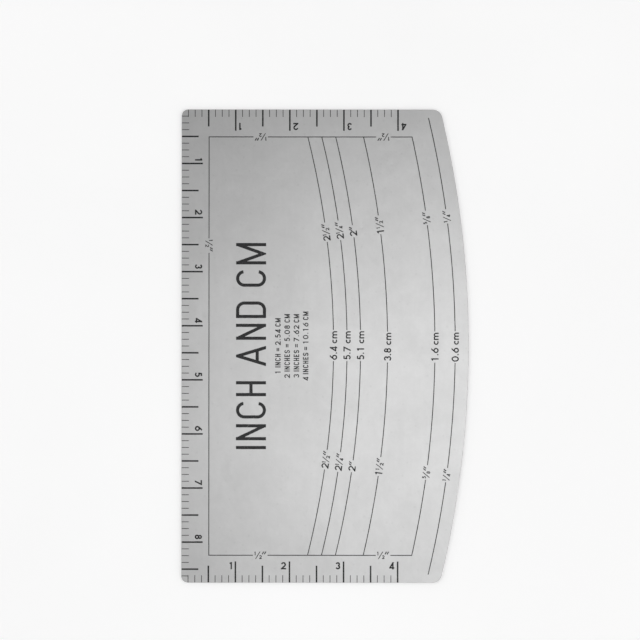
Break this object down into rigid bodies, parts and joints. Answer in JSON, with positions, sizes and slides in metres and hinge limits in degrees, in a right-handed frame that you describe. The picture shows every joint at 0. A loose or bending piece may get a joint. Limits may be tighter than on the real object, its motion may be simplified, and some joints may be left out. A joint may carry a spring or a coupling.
{
  "type": "sewing gauge",
  "caption": "Flat metal hem gauge with printed edge scales, a straight long edge, and hem lines parallel to its curved edge.",
  "frame": {"origin": "under the middle of the sheet's bounding box, in the plane that its back lies on", "axes": "+X across the gauge from the straight long edge to the curved edge, +Y along it to the top short edge, +Z out of the printed front"},
  "size_m": [0.1349, 0.2222, 0.0008],
  "materials": {
    "aluminium": "satin rolled sheet",
    "ink": "satin black ink"
  },
  "bodies": {
    "root": {"bottom_edge_eighth_ticks": "ink", "bottom_edge_half_ticks": "ink", "bottom_edge_inch_ticks": "ink", "bottom_edge_numerals": "ink", "centimetre_labels": "ink", "conversion_table": "ink", "half_inch_labels": "ink", "half_inch_line": "ink", "hem_line_five_eighths_inch": "ink", "hem_line_one_and_half_inch": "ink", "hem_line_quarter_inch": "ink", "hem_line_two_and_half_inch": "ink", "hem_line_two_and_quarter_inch": "ink", "hem_line_two_inch": "ink", "long_edge_eighth_ticks": "ink", "long_edge_half_ticks": "ink", "long_edge_inch_ticks": "ink", "long_edge_numerals": "ink", "lower_inch_labels": "ink", "plate": "aluminium", "top_edge_eighth_ticks": "ink", "top_edge_half_ticks": "ink", "top_edge_inch_ticks": "ink", "top_edge_numerals": "ink", "unit_lettering": "ink", "upper_inch_labels": "ink"}
  },
  "joints": []
}
